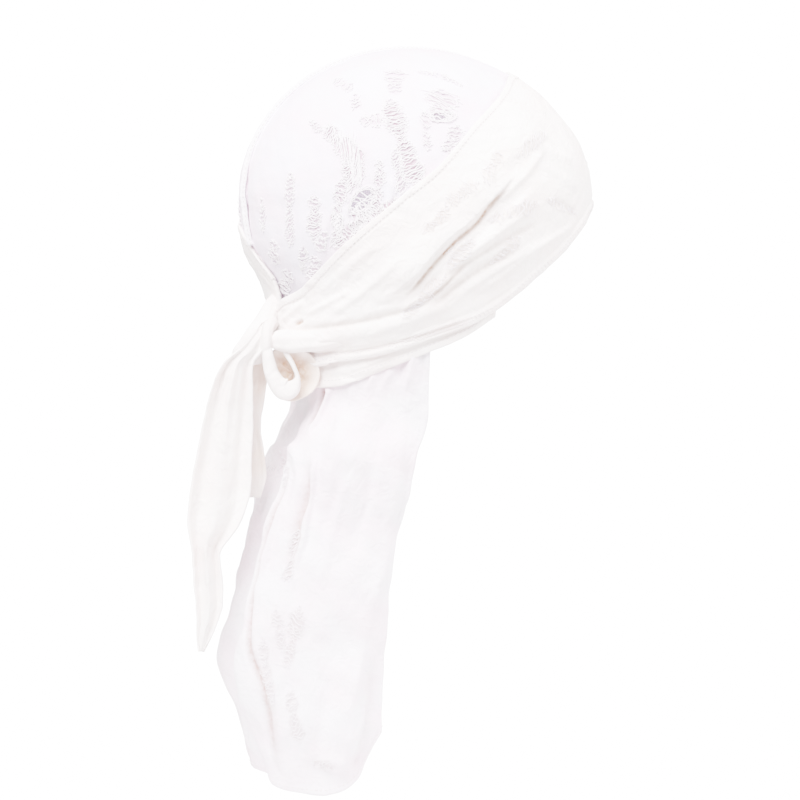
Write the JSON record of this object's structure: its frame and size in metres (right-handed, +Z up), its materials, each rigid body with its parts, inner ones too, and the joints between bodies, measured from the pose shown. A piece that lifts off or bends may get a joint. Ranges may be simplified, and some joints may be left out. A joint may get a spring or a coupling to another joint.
{
  "type": "durag",
  "caption": "White distressed cotton durag in its worn form: two-panel cap with a wide wrap tied at the nape, hanging tie ends and a long pleated tail.",
  "frame": {"origin": "inside of the top of the cap, where it rests on the crown of the head", "axes": "+Z up, +X towards the forehead, +Y towards the wearer's left"},
  "size_m": [0.2342, 0.1671, 0.4119],
  "materials": {
    "crown_cotton": "cool white cotton, worn through in ladders",
    "seam_cotton": "raised white seam, topstitched",
    "strap_cotton": "warm white cotton, pleated, hemmed and stitched",
    "tail_cotton": "white cotton with worn ladders"
  },
  "bodies": {
    "root": {"crown_right": "crown_cotton", "crown_left": "crown_cotton", "centre_seam": "seam_cotton", "wide_wrap": "strap_cotton", "nape_wrap": "strap_cotton", "knot": "strap_cotton", "knot_loop": "strap_cotton", "tie_end_long": "strap_cotton", "tie_end_short": "strap_cotton", "tail": "tail_cotton"}
  },
  "joints": []
}
